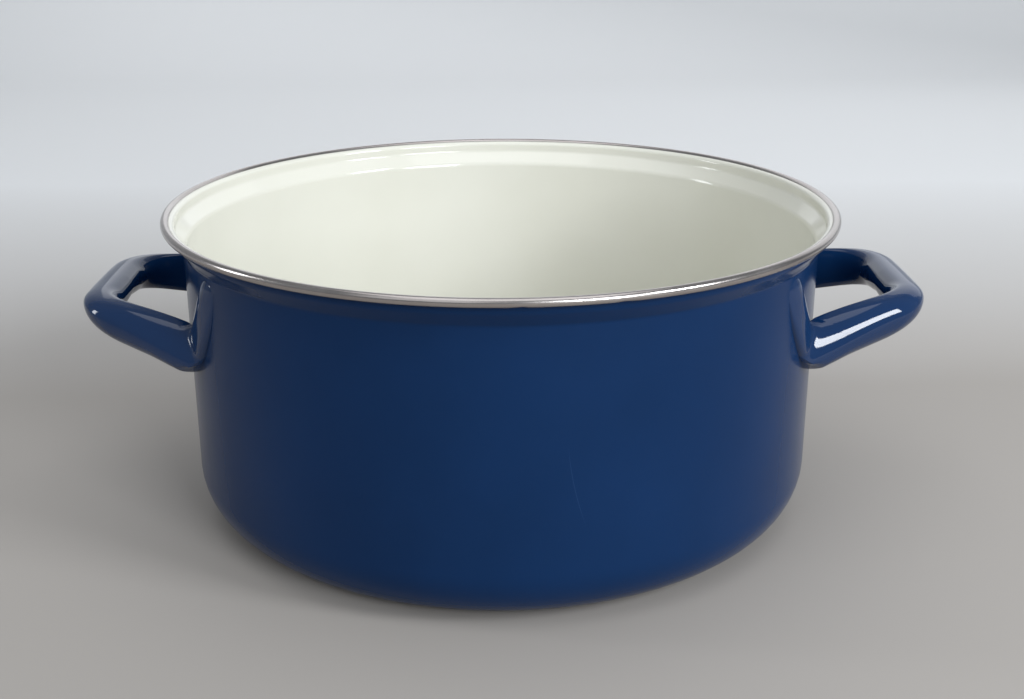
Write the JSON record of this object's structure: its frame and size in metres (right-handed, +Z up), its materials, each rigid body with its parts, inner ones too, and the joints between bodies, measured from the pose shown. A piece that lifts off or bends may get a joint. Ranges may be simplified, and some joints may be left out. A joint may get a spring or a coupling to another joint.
{
  "type": "cooking pot",
  "caption": "Enamelled steel cooking pot, blue outside and cream inside, with a stainless rim band and loop handles on opposite sides.",
  "frame": {"origin": "centre of the base underside, on the plane that the pot stands on", "axes": "+Z up along the pot's axis, +X through the middle of the right handle"},
  "size_m": [0.3156, 0.2522, 0.117],
  "materials": {
    "enamel_blue": "gloss blue enamel",
    "stainless": "polished stainless"
  },
  "bodies": {
    "root": {"pot_body": "enamel_blue", "rim_band": "stainless", "handle_right": "enamel_blue", "handle_left": "enamel_blue"}
  },
  "joints": []
}
